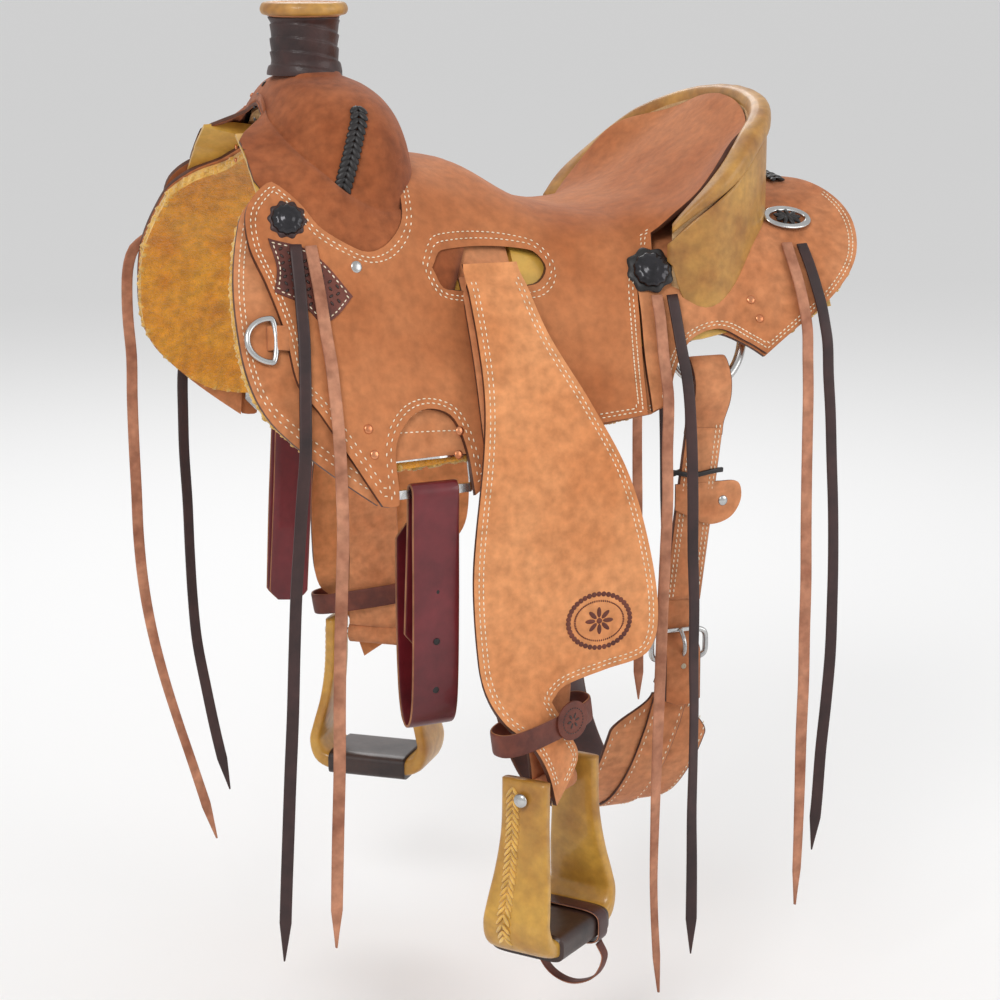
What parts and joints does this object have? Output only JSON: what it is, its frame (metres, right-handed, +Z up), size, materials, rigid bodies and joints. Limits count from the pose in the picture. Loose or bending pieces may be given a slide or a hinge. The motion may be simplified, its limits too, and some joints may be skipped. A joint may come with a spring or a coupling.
{
  "type": "western saddle",
  "caption": "Rough-out western ranch saddle with wrapped horn, in-skirt rigging, hanging fenders and stirrups, flank cinch and saddle strings.",
  "frame": {"origin": "on the horse's spine line, under the middle of the seat, 57 mm below the seat's lowest leather", "axes": "-X forwards towards the horn, +Y to the rider's right (off side), +Z up"},
  "size_m": [0.7096, 0.6625, 1.0235],
  "materials": {
    "roughout": "rough-out leather, flesh side out, with a short nap",
    "dark_leather": "oiled dark brown leather, semi-matt",
    "burgundy": "waxed burgundy latigo leather with a soft sheen",
    "fleece": "deep golden sheepskin pile",
    "rawhide": "hard yellow-brown rawhide, satin",
    "wood": "sanded pine",
    "steel": "stainless steel, lightly scuffed",
    "concho": "black japanned steel over a dark leather rosette",
    "wrap": "smoked rubber and leather dally wrap, matt",
    "tread": "dark brown smooth leather",
    "lace": "undyed lace leather, matt"
  },
  "bodies": {
    "saddle": {"tree_fork": "wood", "fork_cover": "roughout", "horn": "roughout", "horn_wrap": "wrap", "seat": "roughout", "ground_seat": "steel", "tree_cantle": "wood", "cantle_binding": "rawhide", "skirt_near": "roughout", "fleece_near": "fleece", "rear_jockey_near": "roughout", "leather_loop_near": "roughout", "tree_bar_near": "wood", "rigging_plate_near": "steel", "flank_dee_near": "steel", "front_concho_near": "concho", "rear_concho_near": "concho", "ring_concho_near": "steel", "skirt_off": "roughout", "fleece_off": "fleece", "rear_jockey_off": "roughout", "leather_loop_off": "roughout", "tree_bar_off": "wood", "rigging_plate_off": "steel", "flank_dee_off": "steel", "front_concho_off": "concho", "rear_concho_off": "concho", "ring_concho_off": "steel", "string_near_front_dark": "dark_leather", "string_near_front_light": "lace", "string_near_rear_light": "lace", "string_near_rear_dark": "dark_leather", "string_near_back_dark": "dark_leather", "string_near_back_light": "lace", "string_off_front_light": "lace", "string_off_front_dark": "dark_leather", "string_off_back_light": "lace", "string_off_back_dark": "dark_leather"},
    "fender_near": {"fender_near": "roughout", "stirrup_leather_near": "roughout", "hobble_strap_near": "dark_leather"},
    "stirrup_near": {"stirrup_near": "rawhide", "stirrup_bolt_near": "steel", "tread_cover_near": "tread", "tread_strap_near": "dark_leather"},
    "breast_dee_near": {"breast_dee_near": "steel"},
    "fender_off": {"fender_off": "roughout", "stirrup_leather_off": "roughout", "hobble_strap_off": "dark_leather"},
    "stirrup_off": {"stirrup_off": "rawhide", "stirrup_bolt_off": "steel", "tread_cover_off": "tread"},
    "breast_dee_off": {"breast_dee_off": "steel"},
    "latigo": {"latigo_near": "burgundy"},
    "billet": {"billet_off": "burgundy"},
    "flank": {"flank_billet_near": "roughout", "flank_buckle_near": "steel", "flank_billet_off": "roughout", "flank_buckle_off": "steel", "flank_cinch": "roughout"}
  },
  "joints": [
    {"name": "near_fender_lift", "type": "hinge", "parent": "saddle", "child": "fender_near", "pos_m": [-0.076, -0.171, -0.006], "axis": [-1, 0, 0], "range_deg": [0, 70]},
    {"name": "off_fender_lift", "type": "hinge", "parent": "saddle", "child": "fender_off", "pos_m": [-0.076, 0.171, -0.006], "axis": [1, 0, 0], "range_deg": [0, 70]},
    {"name": "near_stirrup_swing", "type": "hinge", "parent": "fender_near", "child": "stirrup_near", "pos_m": [-0.044, -0.25659, -0.506], "axis": [0.788, 0.6157, 0], "range_deg": [-14, 14]},
    {"name": "off_stirrup_swing", "type": "hinge", "parent": "fender_off", "child": "stirrup_off", "pos_m": [-0.058, 0.25627, -0.486], "axis": [0.788, -0.6157, 0], "range_deg": [-14, 14]},
    {"name": "latigo_swing", "type": "hinge", "parent": "saddle", "child": "latigo", "pos_m": [-0.16, -0.2376, -0.202], "axis": [-0.9935, -0.1142, 0], "range_deg": [0, 60]},
    {"name": "billet_swing", "type": "hinge", "parent": "saddle", "child": "billet", "pos_m": [-0.16, 0.2376, -0.202], "axis": [0.9935, -0.1142, 0], "range_deg": [0, 60]},
    {"name": "near_breast_dee_swing", "type": "hinge", "parent": "saddle", "child": "breast_dee_near", "pos_m": [-0.30606, -0.21232, -0.05111], "axis": [0.0736, 0.3536, 0.9325], "range_deg": [0, 75]},
    {"name": "off_breast_dee_swing", "type": "hinge", "parent": "saddle", "child": "breast_dee_off", "pos_m": [-0.30606, 0.21232, -0.05111], "axis": [-0.0736, 0.3536, -0.9325], "range_deg": [0, 75]},
    {"name": "flank_swing", "type": "hinge", "parent": "saddle", "child": "flank", "pos_m": [0.16, 0, -0.129], "axis": [0, 1, 0], "range_deg": [-10, 10]}
  ]
}
